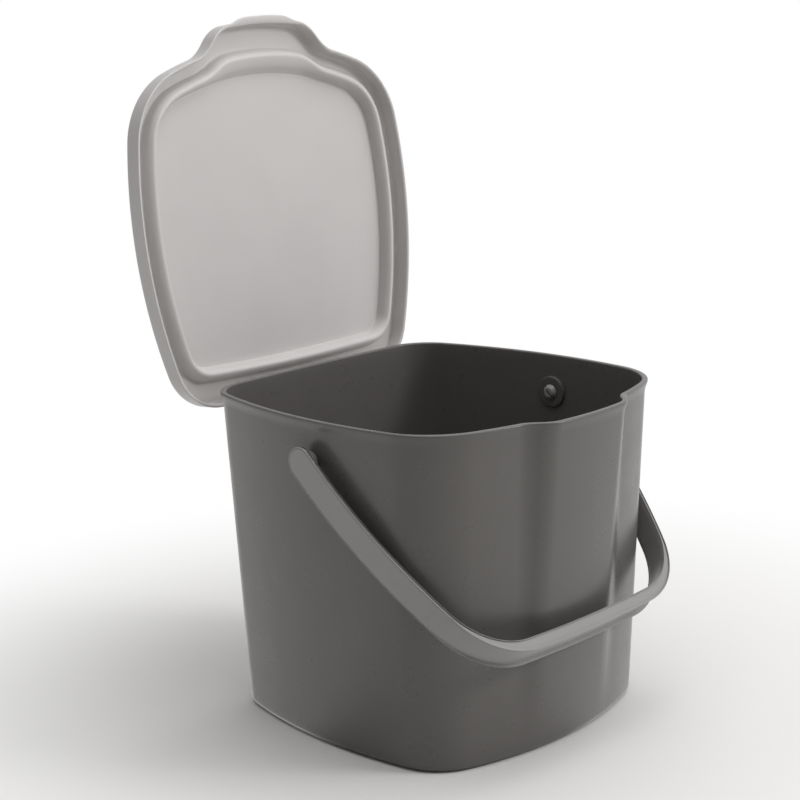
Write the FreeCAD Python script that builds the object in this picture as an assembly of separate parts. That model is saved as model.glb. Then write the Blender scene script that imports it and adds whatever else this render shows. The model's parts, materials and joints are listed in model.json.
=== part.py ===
"""Food-waste caddy: a rounded-square bucket, a hinged lid that stands open and a swinging bail handle.

Millimetres, +Z up. The origin is the middle of the foot ring on the floor. The front, with the pour
lip and the lid's tab, faces -Y, and the hinge is at +Y. All three pieces are polypropylene mouldings.
"""
import FreeCAD, Part
import math
import os
from FreeCAD import Vector

# Cutting tools reach this far past the face they cut
OVERRUN = 1.0

# A rounded edge that runs round a moulding is drawn as this many flats, and so is each arc of a shoulder
ROUND_STEPS = 2
SHOULDER_STEPS = 3

# Bucket: plan of the rim, seen from above
RIM_HALF_WIDTH = 111.5
RIM_HALF_DEPTH = 107.8
SIDE_BOW_RADIUS = 314.0
FRONT_BOW_RADIUS = 221.0
REAR_BOW_RADIUS = 1500.0
SIDE_BOW_CENTRE_Y = -7.8
FRONT_CORNER_RADIUS = 48.0
REAR_CORNER_RADIUS = 31.0
LEAST_CORNER_RADIUS = 4.0

# Bucket: heights, walls and draft
BUCKET_HEIGHT = 200.0
WALL = 2.2
FLOOR = 2.5
DRAFT_PER_MM = 0.046
BOTTOM_EDGE_RADIUS = 5.0
INNER_EDGE_RADIUS = 4.0
FOOT_RING_HEIGHT = 1.5
FOOT_RING_WIDTH = 6.0
FOOT_RING_INSET = 5.5

# Bucket: rim, which flares out over its last few millimetres
RIM_FLARE = 1.4
RIM_FLARE_HEIGHT = 6.0
RIM_LAND = 1.6
RIM_EDGE_BEVEL = 0.6

# Pour lip: the front wall swells out under the lid's tab and fades away towards the base
LIP_DEPTH = 9.2
LIP_HALF_CREST = 26.6
LIP_HALF_FOOT = 48.5

# Lid: sizes with the lid shut
LID_SKIRT_GAP = 0.5
LID_SKIRT = 2.0
LID_PLATE = 2.2
LID_SKIRT_DEPTH = 9.6
LID_SEAT_GAP = 0.3
LID_EDGE_ROUND = 2.6
LID_INNER_BEVEL = 1.0
TAB_DEPTH = 13.5
TAB_HALF_CREST = 27.0
TAB_HALF_FOOT = 57.0
FINGER_LIP_REACH = 3.0
FINGER_LIP_HEIGHT = 1.6
FINGER_LIP_HALF_CREST = 14.0
FINGER_LIP_HALF_FOOT = 30.0

# Lid: the half-round bead round the inner panel, as insets from the skirt's outer face
BEAD_HEIGHT = 7.8
BEAD_SHOULDER_DROP = 2.0
BEAD_OUTER_INSET = 9.6
BEAD_OUTER_SHOULDER_INSET = 11.2
BEAD_CREST_OUTER_INSET = 13.4
BEAD_CREST_INNER_INSET = 15.2
BEAD_INNER_SHOULDER_INSET = 17.2
BEAD_INNER_INSET = 18.6
BEAD_REAR_SHIFT = 6.0

# Lid: under the tab the bead spreads forwards, all of it but its inner foot
BEAD_FRONT_SWELL = 6.0
BEAD_INNER_SHOULDER_SWELL = 3.0

# Lid: the groove in the top face that hollows the bead
GROOVE_DEPTH = 7.8
GROOVE_TOP_OUTER_INSET = 11.8
GROOVE_TOP_INNER_INSET = 16.4
GROOVE_FLOOR_OUTER_INSET = 13.2
GROOVE_FLOOR_INNER_INSET = 15.2

# Hinge: a moulded pin between two lugs on the bucket, held by a snap hook on the lid, at two stations
LID_OPEN_ANGLE = 95.4
HINGE_DROP = 19.0
HINGE_REACH = 5.2
HINGE_STATION_X = 46.0
HINGE_PIN_RADIUS = 2.4
HINGE_RUNNING_GAP = 0.08
HOOK_WALL = 2.0
HOOK_LENGTH = 20.0
HOOK_MOUTH_ANGLE = 96.0
HOOK_SIDE_GAP = 0.4
HOOK_LEG = 2.2
HOOK_HEEL = 4.0
LUG_WIDTH = 3.0
LUG_RADIUS = 4.2
LUG_FOOT = 8.0
STOP_GAP = 0.3

# Handle: a strap bail with a channelled grip
HANDLE_PIVOT_DROP = 23.6
HANDLE_PIVOT_Y = 0.0
HANDLE_REST_ANGLE = 43.7
HANDLE_STANDOFF = 7.0
HANDLE_STRAP = 2.7
HANDLE_WIDTH = 18.6
GRIP_DEPTH = 8.2
GRIP_WALL_GAP = 0.32
HANDLE_SIDE_BOW_RADIUS = 356.0
GRIP_BOW_RADIUS = 1190.0
HANDLE_CORNER_RADIUS = 50.0
GRIP_INNER_CORNER_RADIUS = 45.0
GRIP_WEB = 2.3
GRIP_FLANGE = 1.7
GRIP_WEB_LEAN = 4.2
CHANNEL_START_FROM_GRIP = 46.0
CHANNEL_START_DEPTH = 0.7
HANDLE_EDGE_BEVEL = 0.6

# Handle bearing: a hub and a snap stud that turn in a round socket in the side wall
STUD_RADIUS = 4.0
STUD_RUNNING_GAP = 0.1
HUB_RADIUS = 5.6
HUB_FACE_GAP = 0.3
SOCKET_BOSS_RADIUS = 10.0
SOCKET_BOSS_HEIGHT = 2.0
SOCKET_BOSS_BEVEL = 0.6
STUD_HEAD_RADIUS = 5.1
STUD_HEAD_LENGTH = 2.4
STUD_HEAD_GAP = 0.3
STUD_TIP_TAPER = 0.8
STUD_SLOT = 1.6

# Places worked out from the sizes above
X_AXIS = Vector(1, 0, 0)
HANDLE_PIVOT_Z = BUCKET_HEIGHT - HANDLE_PIVOT_DROP
HINGE_Z = BUCKET_HEIGHT - HINGE_DROP
FLOOR_Z = FOOT_RING_HEIGHT + FLOOR
LID_OUTSET = LID_SKIRT_GAP + LID_SKIRT
LID_FLOOR_Z = BUCKET_HEIGHT + LID_SEAT_GAP
LID_TOP_Z = LID_FLOOR_Z + LID_PLATE
LID_EDGE_Z = BUCKET_HEIGHT - LID_SKIRT_DEPTH


def wall_inset(z):
    """How far the outer wall lies inside the rim's outline at height z."""
    return RIM_FLARE + DRAFT_PER_MM * (BUCKET_HEIGHT - z)


def tangent_centre(c1, r1, c2, r2, radius, towards):
    """Centre of the circle of this radius that touches two circles from inside, on the given side."""
    d1 = r1 - radius
    d2 = r2 - radius
    span = c2 - c1
    along = (d1 * d1 - d2 * d2 + span.Length ** 2) / (2 * span.Length)
    across = math.sqrt(d1 * d1 - along * along)
    unit = Vector(span).normalize()
    normal = Vector(-unit.y, unit.x, 0)
    options = [c1 + unit * along + normal * across, c1 + unit * along - normal * across]
    return max(options, key=lambda p: p.dot(towards))


def far_point(centre, through, radius):
    """Point where the circle round centre meets the ray from it through another point."""
    return centre + (through - centre).normalize() * radius


def mirrored(p):
    return Vector(-p.x, p.y, p.z)


def arc_between(centre, radius, p, q):
    """Arc of the circle round centre from p to q, the short way."""
    middle = far_point(centre, (p + q) * 0.5, radius)
    return Part.Arc(p, middle, q).toShape()


def arc_leaving(p, tangent, q):
    """Arc that leaves p along the tangent and ends at q."""
    normal = Vector(-tangent.y, tangent.x, 0)
    chord = q - p
    centre = p + normal * (chord.dot(chord) / (2 * normal.dot(chord)))
    return arc_between(centre, (p - centre).Length, p, q)


def shoulder(p, tangent_p, q, tangent_q):
    """S from p to q in short flats on two arcs, tangent to each other and to the given directions."""
    chord = q - p
    across = 2 * (1 - tangent_p.dot(tangent_q))
    along = chord.dot(tangent_p + tangent_q)
    reach = (math.sqrt(along * along + across * chord.dot(chord)) - along) / across
    middle = (p + q + (tangent_p - tangent_q) * reach) * 0.5
    turn = middle_tangent(p, tangent_p, middle)
    points = [p]
    for arc in (arc_leaving(p, tangent_p, middle), arc_leaving(middle, turn, q)):
        points.extend(arc.discretize(SHOULDER_STEPS + 1)[1:])
    return [Part.LineSegment(a, b).toShape() for a, b in zip(points, points[1:])]


def middle_tangent(p, tangent, q):
    """Direction in which an arc that leaves p along the tangent arrives at q."""
    chord = Vector(q - p).normalize()
    return chord * (2 * chord.dot(tangent)) - tangent


def plan(inset, z, swell=0.0, crest=LIP_HALF_CREST, foot=LIP_HALF_FOOT, rear_inset=0.0):
    """Closed rounded-square wire at height z, moved inwards from the rim's outline by inset.

    The front carries a swelling that stands out by swell, flat over crest and gone at foot, both
    measured from the middle. rear_inset moves only the rear side, further in.
    """
    lift = Vector(0, 0, z)
    half_width = RIM_HALF_WIDTH - inset
    front_y = -(RIM_HALF_DEPTH - inset)
    rear_y = RIM_HALF_DEPTH - inset - rear_inset
    r_side = SIDE_BOW_RADIUS - inset
    r_front = FRONT_BOW_RADIUS - inset
    r_rear = REAR_BOW_RADIUS - inset
    r_front_corner = FRONT_CORNER_RADIUS - inset
    r_rear_corner = max(REAR_CORNER_RADIUS - inset, LEAST_CORNER_RADIUS)
    c_front = Vector(0, front_y + r_front, 0)
    c_rear = Vector(0, rear_y - r_rear, 0)
    c_side = Vector(half_width - r_side, SIDE_BOW_CENTRE_Y, 0)
    c_fc = tangent_centre(c_front, r_front, c_side, r_side, r_front_corner, Vector(1, -1, 0))
    c_rc = tangent_centre(c_rear, r_rear, c_side, r_side, r_rear_corner, Vector(1, 1, 0))
    front_end = far_point(c_front, c_fc, r_front)
    side_front = far_point(c_side, c_fc, r_side)
    side_rear = far_point(c_side, c_rc, r_side)
    rear_end = far_point(c_rear, c_rc, r_rear)
    foot_angle = math.asin(foot / FRONT_BOW_RADIUS)
    crest_angle = math.asin(crest / FRONT_BOW_RADIUS)
    foot_dir = Vector(math.sin(foot_angle), -math.cos(foot_angle), 0)
    crest_dir = Vector(math.sin(crest_angle), -math.cos(crest_angle), 0)
    foot_point = c_front + foot_dir * r_front
    crest_point = c_front + crest_dir * (r_front + swell)
    foot_tangent = Vector(-foot_dir.y, foot_dir.x, 0)
    crest_tangent = Vector(-crest_dir.y, crest_dir.x, 0)
    edges = [
        arc_between(c_rear, r_rear, mirrored(rear_end), rear_end),
        arc_between(c_rc, r_rear_corner, rear_end, side_rear),
        arc_between(c_side, r_side, side_rear, side_front),
        arc_between(c_fc, r_front_corner, side_front, front_end),
        arc_between(c_front, r_front, front_end, foot_point),
        *shoulder(foot_point, -foot_tangent, crest_point, -crest_tangent),
        arc_between(c_front, r_front + swell, crest_point, mirrored(crest_point)),
        *shoulder(
            mirrored(crest_point), mirrored(crest_tangent), mirrored(foot_point), mirrored(foot_tangent)
        ),
        arc_between(c_front, r_front, mirrored(foot_point), mirrored(front_end)),
        arc_between(mirrored(c_fc), r_front_corner, mirrored(front_end), mirrored(side_front)),
        arc_between(mirrored(c_side), r_side, mirrored(side_front), mirrored(side_rear)),
        arc_between(mirrored(c_rc), r_rear_corner, mirrored(side_rear), mirrored(rear_end)),
    ]
    wire = Part.Wire(edges)
    wire.translate(lift)
    return wire


def stack(wires):
    """Solid through a pile of plans, straight from each to the next."""
    return Part.makeLoft(wires, True, True)


def slab(wire, height):
    return Part.Face(wire).extrude(Vector(0, 0, height))


def cylinder_x(radius, x0, x1, y, z):
    """Round bar along X from x0 to x1."""
    return Part.makeCylinder(radius, x1 - x0, Vector(x0, y, z), X_AXIS)


def box_between(x0, x1, y0, y1, z0, z1):
    return Part.makeBox(x1 - x0, y1 - y0, z1 - z0, Vector(x0, y0, z0))


def round_steps(radius):
    """Pairs of (distance in from the wall, distance in from the flat) along a quarter round."""
    angles = [math.radians(90) * step / ROUND_STEPS for step in range(ROUND_STEPS + 1)]
    return [(radius * (1 - math.sin(a)), radius * (1 - math.cos(a))) for a in angles]


def lip_swell(z):
    """The pour lip's depth at height z: nothing at the floor, all of it at the rim."""
    return LIP_DEPTH * z / BUCKET_HEIGHT


def bucket_plan(z, inset):
    return plan(inset, z, lip_swell(z))


def edges_at_height(shape, z, tolerance=0.01):
    """Edges of a shape that lie flat at height z."""
    found = []
    for edge in shape.Edges:
        box = edge.BoundBox
        if abs(box.ZMin - z) < tolerance and abs(box.ZMax - z) < tolerance:
            found.append(edge)
    return found


def bucket_shell():
    """The tapering wall with its flared rim, rounded bottom edge and recessed base."""
    flare_z = BUCKET_HEIGHT - RIM_FLARE_HEIGHT
    land_z = BUCKET_HEIGHT - RIM_LAND
    above = BUCKET_HEIGHT + OVERRUN
    outer = [bucket_plan(z, wall_inset(z) + inset) for inset, z in round_steps(BOTTOM_EDGE_RADIUS)]
    outer.append(bucket_plan(flare_z, wall_inset(flare_z)))
    rim = stack([
        bucket_plan(flare_z, wall_inset(flare_z)),
        bucket_plan(land_z, 0),
        bucket_plan(BUCKET_HEIGHT, 0),
    ])
    inner = []
    for inset, rise in round_steps(INNER_EDGE_RADIUS):
        z = FLOOR_Z + rise
        inner.append(bucket_plan(z, wall_inset(z) + WALL + inset))
    inner.append(bucket_plan(above, wall_inset(above) + WALL))
    shell = stack(outer).fuse(rim).removeSplitter()
    shell = shell.cut(stack(inner))
    shell = shell.makeChamfer(RIM_EDGE_BEVEL, edges_at_height(shell, BUCKET_HEIGHT))
    ring_inner = wall_inset(0) + FOOT_RING_INSET + FOOT_RING_WIDTH
    recess = slab(plan(ring_inner, -OVERRUN), OVERRUN + FOOT_RING_HEIGHT)
    return shell.cut(recess)


def wall_outer_x(y, z):
    """Half-width of the bucket's outer wall where the side bow passes, at a given depth and height."""
    radius = SIDE_BOW_RADIUS - wall_inset(z)
    centre = RIM_HALF_WIDTH - wall_inset(z) - radius
    return centre + math.sqrt(radius ** 2 - (y - SIDE_BOW_CENTRE_Y) ** 2)


def rear_wall_y(z):
    return RIM_HALF_DEPTH - wall_inset(z)


def hinge_y():
    """The hinge axis stands off the rear wall at its own height."""
    return rear_wall_y(HINGE_Z) + HINGE_REACH


def handle_socket(side):
    """Thickened round boss inside the wall at one side, and the bore through it."""
    face = wall_outer_x(HANDLE_PIVOT_Y, HANDLE_PIVOT_Z)
    outside = face - WALL * 0.5
    inside = face - WALL - SOCKET_BOSS_HEIGHT
    boss = cylinder_x(SOCKET_BOSS_RADIUS, inside, outside, HANDLE_PIVOT_Y, HANDLE_PIVOT_Z)
    inner_rim = [edge for edge in boss.Edges if abs(edge.BoundBox.XMax - inside) < 0.01]
    boss = boss.makeChamfer(SOCKET_BOSS_BEVEL, inner_rim)
    radius = STUD_RADIUS + STUD_RUNNING_GAP
    bore = cylinder_x(radius, inside - OVERRUN, face + OVERRUN, HANDLE_PIVOT_Y, HANDLE_PIVOT_Z)
    if side < 0:
        boss = boss.mirror(Vector(), X_AXIS)
        bore = bore.mirror(Vector(), X_AXIS)
    return boss, bore


def hinge_lug(x0):
    """One ear of the hinge: a rounded plate from the rear wall out to the pin."""
    y = hinge_y()
    depth = HINGE_REACH + WALL * 0.5
    nose = cylinder_x(LUG_RADIUS, x0, x0 + LUG_WIDTH, y, HINGE_Z)
    web = box_between(x0, x0 + LUG_WIDTH, y - depth, y, HINGE_Z - LUG_RADIUS, HINGE_Z + LUG_RADIUS)
    foot = Part.Face(Part.makePolygon([
        Vector(x0, y, HINGE_Z - LUG_RADIUS),
        Vector(x0, y - depth, HINGE_Z - LUG_RADIUS),
        Vector(x0, y - depth, HINGE_Z - LUG_RADIUS - LUG_FOOT),
        Vector(x0, y, HINGE_Z - LUG_RADIUS),
    ])).extrude(Vector(LUG_WIDTH, 0, 0))
    return nose.fuse([web, foot]).removeSplitter()


def hinge_station(centre_x):
    """Two lugs with the moulded pin between them."""
    half = HOOK_LENGTH / 2 + HOOK_SIDE_GAP
    left = hinge_lug(centre_x - half - LUG_WIDTH)
    right = hinge_lug(centre_x + half)
    pin = cylinder_x(HINGE_PIN_RADIUS, centre_x - half, centre_x + half, hinge_y(), HINGE_Z)
    return left.fuse([right, pin])


def make_bucket():
    shell = bucket_shell()
    for side in (-1, 1):
        boss, bore = handle_socket(side)
        shell = shell.fuse(boss).cut(bore)
        shell = shell.fuse(hinge_station(side * HINGE_STATION_X))
    return shell.removeSplitter()


def lid_plan(inset, z):
    """Plan of the lid with its tab, inset from the skirt's outer face."""
    return plan(inset - LID_OUTSET, z, TAB_DEPTH, TAB_HALF_CREST, TAB_HALF_FOOT)


def bead_plan(inset, z, swell=0.0):
    """Plan of one ring of the bead, inset from the skirt's outer face."""
    return plan(inset - LID_OUTSET, z, swell, TAB_HALF_CREST, TAB_HALF_FOOT, BEAD_REAR_SHIFT)


def lid_bead():
    """The half-round ridge on the underside that runs round the inner panel."""
    crest = LID_FLOOR_Z - BEAD_HEIGHT
    shoulder = crest + BEAD_SHOULDER_DROP
    top = LID_FLOOR_Z + LID_PLATE * 0.5
    outer = stack([
        bead_plan(BEAD_CREST_OUTER_INSET, crest, BEAD_FRONT_SWELL),
        bead_plan(BEAD_OUTER_SHOULDER_INSET, shoulder, BEAD_FRONT_SWELL),
        bead_plan(BEAD_OUTER_INSET, LID_FLOOR_Z, BEAD_FRONT_SWELL),
        bead_plan(BEAD_OUTER_INSET, top, BEAD_FRONT_SWELL),
    ])
    inner = stack([
        bead_plan(BEAD_CREST_INNER_INSET, crest, BEAD_FRONT_SWELL),
        bead_plan(BEAD_INNER_SHOULDER_INSET, shoulder, BEAD_INNER_SHOULDER_SWELL),
        bead_plan(BEAD_INNER_INSET, LID_FLOOR_Z),
        bead_plan(BEAD_INNER_INSET, top),
    ])
    return outer.cut(inner)


def lid_groove():
    """The groove in the top face above the bead, which keeps the moulding's wall even."""
    floor = LID_TOP_Z - GROOVE_DEPTH
    above = LID_TOP_Z + OVERRUN
    outer = stack([
        bead_plan(GROOVE_FLOOR_OUTER_INSET, floor, BEAD_FRONT_SWELL),
        bead_plan(GROOVE_TOP_OUTER_INSET, LID_TOP_Z, BEAD_FRONT_SWELL),
        bead_plan(GROOVE_TOP_OUTER_INSET, above, BEAD_FRONT_SWELL),
    ])
    inner = stack([
        bead_plan(GROOVE_FLOOR_INNER_INSET, floor, BEAD_FRONT_SWELL),
        bead_plan(GROOVE_TOP_INNER_INSET, LID_TOP_Z),
        bead_plan(GROOVE_TOP_INNER_INSET, above),
    ])
    return outer.cut(inner)


def finger_lip():
    """A small flare along the free edge of the tab that a fingertip catches."""
    swell = TAB_DEPTH + FINGER_LIP_REACH
    outer = plan(-LID_OUTSET, LID_EDGE_Z, swell, FINGER_LIP_HALF_CREST, FINGER_LIP_HALF_FOOT)
    solid = slab(outer, FINGER_LIP_HEIGHT)
    half = FINGER_LIP_HALF_FOOT
    rear = -(RIM_HALF_DEPTH + TAB_DEPTH * 0.5)
    front = -(RIM_HALF_DEPTH + TAB_DEPTH * 2)
    keep = box_between(-half, half, front, rear, LID_EDGE_Z, LID_EDGE_Z + FINGER_LIP_HEIGHT)
    inside = slab(lid_plan(LID_SKIRT * 0.5, LID_EDGE_Z - OVERRUN), FINGER_LIP_HEIGHT + 2 * OVERRUN)
    return solid.common(keep).cut(inside)


def snap_hook(centre_x):
    """C-shaped hook that snaps over the pin, with the leg that carries it down from the skirt."""
    y = hinge_y()
    x0 = centre_x - HOOK_LENGTH / 2
    x1 = centre_x + HOOK_LENGTH / 2
    inner = HINGE_PIN_RADIUS + HINGE_RUNNING_GAP
    outer = inner + HOOK_WALL
    barrel = cylinder_x(outer, x0, x1, y, HINGE_Z)
    leg_y = RIM_HALF_DEPTH + LID_OUTSET
    leg = box_between(x0, x1, leg_y - LID_SKIRT, leg_y - LID_SKIRT + HOOK_LEG, HINGE_Z, LID_FLOOR_Z)
    heel_reach = HINGE_REACH - STOP_GAP
    heel = box_between(x0, x1, y - HOOK_HEEL / 2, y + HOOK_HEEL / 2, HINGE_Z - heel_reach, HINGE_Z)
    heel.rotate(Vector(0, y, HINGE_Z), X_AXIS, LID_OPEN_ANGLE - 90)
    hook = barrel.fuse([leg, heel])
    hook = hook.cut(cylinder_x(inner, x0 - OVERRUN, x1 + OVERRUN, y, HINGE_Z))
    half = math.radians(HOOK_MOUTH_ANGLE / 2)
    reach = outer * 2
    mouth = Part.Face(Part.makePolygon([
        Vector(x0 - OVERRUN, y, HINGE_Z),
        Vector(x0 - OVERRUN, y - reach * math.cos(half), HINGE_Z + reach * math.sin(half)),
        Vector(x0 - OVERRUN, y - reach * math.cos(half), HINGE_Z - reach * math.sin(half)),
        Vector(x0 - OVERRUN, y, HINGE_Z),
    ])).extrude(Vector(HOOK_LENGTH + 2 * OVERRUN, 0, 0))
    return hook.cut(mouth)


def lid_shut():
    """The lid as it lies shut on the rim."""
    body = [lid_plan(inset, LID_TOP_Z - drop) for inset, drop in round_steps(LID_EDGE_ROUND)]
    body.append(lid_plan(0, LID_EDGE_Z))
    hollow = slab(lid_plan(LID_SKIRT, LID_EDGE_Z - OVERRUN), LID_FLOOR_Z - LID_EDGE_Z + OVERRUN)
    hollow = hollow.makeChamfer(LID_INNER_BEVEL, edges_at_height(hollow, LID_FLOOR_Z))
    lid = stack(body).cut(hollow)
    lid = lid.fuse([lid_bead(), finger_lip()])
    lid = lid.cut(lid_groove())
    lid = lid.fuse([snap_hook(-HINGE_STATION_X), snap_hook(HINGE_STATION_X)])
    return lid.removeSplitter()


def make_lid():
    """The lid turned open about the hinge, as it stands."""
    lid = lid_shut()
    lid.rotate(Vector(0, hinge_y(), HINGE_Z), X_AXIS, -LID_OPEN_ANGLE)
    return lid


def handle_half_inside():
    """Half the width between the arms, which stand off the side walls at the pivot."""
    return wall_outer_x(HANDLE_PIVOT_Y, HANDLE_PIVOT_Z) + HANDLE_STANDOFF


def bail_outline(half_inside, reach, corner, m):
    """Open U in the handle's own plane: u across, v from the pivot out to the grip, lying at height m."""
    c_side = Vector(half_inside - HANDLE_SIDE_BOW_RADIUS, 0, 0)
    c_grip = Vector(0, -reach + GRIP_BOW_RADIUS, 0)
    c_corner = tangent_centre(
        c_grip, GRIP_BOW_RADIUS, c_side, HANDLE_SIDE_BOW_RADIUS, corner, Vector(1, -1, 0)
    )
    grip_end = far_point(c_grip, c_corner, GRIP_BOW_RADIUS)
    side_end = far_point(c_side, c_corner, HANDLE_SIDE_BOW_RADIUS)
    back = HANDLE_WIDTH
    top = Vector(c_side.x + math.sqrt(HANDLE_SIDE_BOW_RADIUS ** 2 - back ** 2), back, 0)
    edges = [
        arc_between(c_side, HANDLE_SIDE_BOW_RADIUS, top, side_end),
        arc_between(c_corner, corner, side_end, grip_end),
        arc_between(c_grip, GRIP_BOW_RADIUS, grip_end, mirrored(grip_end)),
        arc_between(mirrored(c_corner), corner, mirrored(grip_end), mirrored(side_end)),
        arc_between(mirrored(c_side), HANDLE_SIDE_BOW_RADIUS, mirrored(side_end), mirrored(top)),
        Part.LineSegment(mirrored(top), top).toShape(),
    ]
    wire = Part.Wire(edges)
    wire.translate(Vector(0, 0, m))
    return wire


def handle_reach():
    """From the pivot to the grip's outer face.

    At rest the grip's lower inner edge, taken before its bevel, clears the front wall by the named gap.
    """
    half = HANDLE_WIDTH / 2
    cosine = math.cos(math.radians(HANDLE_REST_ANGLE))
    sine = math.sin(math.radians(HANDLE_REST_ANGLE))
    slope = DRAFT_PER_MM + LIP_DEPTH / BUCKET_HEIGHT
    edge_z = HANDLE_PIVOT_Z - half * cosine
    front = RIM_HALF_DEPTH - wall_inset(0) + slope * edge_z + HANDLE_PIVOT_Y
    inner_edge = (front + GRIP_WALL_GAP + half * sine) / (cosine + slope * sine)
    return inner_edge - GRIP_WEB_LEAN + GRIP_DEPTH


def outer_outline(inset, m):
    """The bail's outer face at height m, moved in by inset."""
    half_width = handle_half_inside() + HANDLE_STRAP
    return bail_outline(half_width - inset, handle_reach() - inset, HANDLE_CORNER_RADIUS - inset, m)


def inner_outline(outset, lean, m):
    """The bail's inner face at height m, moved out by outset; lean moves only the grip, further out."""
    move = outset + lean
    reach = handle_reach() - GRIP_DEPTH
    return bail_outline(handle_half_inside() + outset, reach + move, GRIP_INNER_CORNER_RADIUS + move, m)


def channel_outline(lean, m):
    """Floor of the channel at height m.

    It lies just inside the straps' outer face, and one web out from the grip's inner face.
    """
    half_width = handle_half_inside() + HANDLE_STRAP - CHANNEL_START_DEPTH
    reach = handle_reach() - GRIP_DEPTH + GRIP_WEB
    corner = GRIP_INNER_CORNER_RADIUS + GRIP_WEB
    return bail_outline(half_width, reach + lean, corner + lean, m)


def handle_bail():
    """Strap arms and channelled grip, lying flat with the pivot axis on X."""
    half = HANDLE_WIDTH / 2
    bevel = HANDLE_EDGE_BEVEL
    outer = stack([
        outer_outline(bevel, -half),
        outer_outline(0, -half + bevel),
        outer_outline(0, half - bevel),
        outer_outline(bevel, half),
    ])
    inner = stack([
        inner_outline(bevel, GRIP_WEB_LEAN, -half),
        inner_outline(0, GRIP_WEB_LEAN, -half + bevel),
        inner_outline(0, 0, half - bevel),
        inner_outline(bevel, 0, half),
    ])
    bail = outer.cut(inner).cut(grip_channel(half))
    return bail.common(side_profile(half))


def grip_channel(half):
    """What is taken out of the grip's outer face to leave a web and two flanges."""
    low = -half + GRIP_FLANGE
    high = half - GRIP_FLANGE
    floor = stack([channel_outline(GRIP_WEB_LEAN, -half), channel_outline(0, half)])
    wide = handle_half_inside() + HANDLE_STRAP + OVERRUN
    radius = (high - low) / 2
    start_v = CHANNEL_START_FROM_GRIP - handle_reach() - radius
    band = box_between(-wide, wide, -handle_reach() - OVERRUN, start_v, low, high)
    band = band.fuse(cylinder_x(radius, -wide, wide, start_v, 0))
    return band.cut(floor)


def side_profile(half):
    """Outline of the handle seen from the side: a straight strap with a round end at the pivot."""
    reach = handle_reach() + OVERRUN
    wide = handle_half_inside() + HANDLE_STRAP + OVERRUN
    strap = box_between(-wide, wide, -reach, 0, -half, half)
    end = cylinder_x(half, -wide, wide, 0, 0)
    return strap.fuse(end)


def handle_stud(side):
    """Hub, bearing stud and split snap head at one arm, along X."""
    face = wall_outer_x(HANDLE_PIVOT_Y, HANDLE_PIVOT_Z)
    boss_inside = face - WALL - SOCKET_BOSS_HEIGHT
    hub_face = face + HUB_RADIUS * DRAFT_PER_MM + HUB_FACE_GAP
    hub = cylinder_x(HUB_RADIUS, hub_face, face + HANDLE_STANDOFF + HANDLE_STRAP / 2, 0, 0)
    head_x1 = boss_inside - STUD_HEAD_GAP
    head_x0 = head_x1 - STUD_HEAD_LENGTH
    stud = cylinder_x(STUD_RADIUS, head_x0, hub_face + HANDLE_STRAP, 0, 0)
    tip_radius = STUD_RADIUS - STUD_TIP_TAPER
    head = Part.makeCone(tip_radius, STUD_HEAD_RADIUS, STUD_HEAD_LENGTH, Vector(head_x0, 0, 0), X_AXIS)
    across = STUD_HEAD_RADIUS + OVERRUN
    slot_end = boss_inside + SOCKET_BOSS_HEIGHT
    slot = box_between(head_x0 - OVERRUN, slot_end, -across, across, -STUD_SLOT / 2, STUD_SLOT / 2)
    solid = hub.fuse([stud, head]).cut(slot)
    if side < 0:
        solid = solid.mirror(Vector(), X_AXIS)
    return solid


def make_handle():
    """The handle swung down until its grip lies at the front wall."""
    handle = handle_bail().fuse([handle_stud(-1), handle_stud(1)]).removeSplitter()
    handle.rotate(Vector(), X_AXIS, HANDLE_REST_ANGLE)
    handle.translate(Vector(0, HANDLE_PIVOT_Y, HANDLE_PIVOT_Z))
    return handle


def main():
    os.makedirs("parts", exist_ok=True)
    pieces = {"bucket": make_bucket, "lid": make_lid, "handle": make_handle}
    for name, make in pieces.items():
        shape = make()
        print(name, "solids", len(shape.Solids), "valid", shape.isValid(), "volume", round(shape.Volume))
        shape.exportStep("parts/%s.step" % name)


main()
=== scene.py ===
"""Food-waste caddy: bucket, open lid and bail handle as worked-out surfaces in satin moulded plastic."""
import json
import math
import bmesh
import bpy
import numpy as np
from bpy.props import FloatProperty, FloatVectorProperty, PointerProperty
from mathutils import Matrix, Vector


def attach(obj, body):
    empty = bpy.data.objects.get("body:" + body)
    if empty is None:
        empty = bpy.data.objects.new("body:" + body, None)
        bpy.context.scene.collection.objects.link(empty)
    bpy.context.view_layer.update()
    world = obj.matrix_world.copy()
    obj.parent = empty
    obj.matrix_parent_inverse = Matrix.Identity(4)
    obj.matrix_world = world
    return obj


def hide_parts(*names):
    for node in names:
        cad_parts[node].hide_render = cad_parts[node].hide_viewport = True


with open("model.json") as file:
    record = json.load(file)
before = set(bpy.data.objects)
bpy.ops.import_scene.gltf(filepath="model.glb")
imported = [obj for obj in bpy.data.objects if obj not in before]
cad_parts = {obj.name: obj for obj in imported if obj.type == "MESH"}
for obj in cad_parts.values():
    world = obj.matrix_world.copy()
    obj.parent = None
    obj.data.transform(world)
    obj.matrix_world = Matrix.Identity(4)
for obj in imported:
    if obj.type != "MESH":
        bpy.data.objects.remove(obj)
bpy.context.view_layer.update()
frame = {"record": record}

bl_info = {
    "name": "Food-waste caddy",
    "version": (1, 0, 0),
    "blender": (4, 5, 0),
    "location": "View3D > Sidebar > Caddy",
    "description": "Builds a food-waste caddy with a hinged lid and a bail handle",
    "category": "Add Mesh",
}

MM = 0.001

# Camera that the photograph was taken with: place, angles and lens
CAMERA_PLACE = (-0.79816, -0.72456, 0.44078)
CAMERA_HEADING = 0.8065
CAMERA_DOWN = 0.2470
CAMERA_ROLL = 0.0274
CAMERA_LENS = 82.886
CAMERA_SHIFT = (0.00853, 0.0450)

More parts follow.
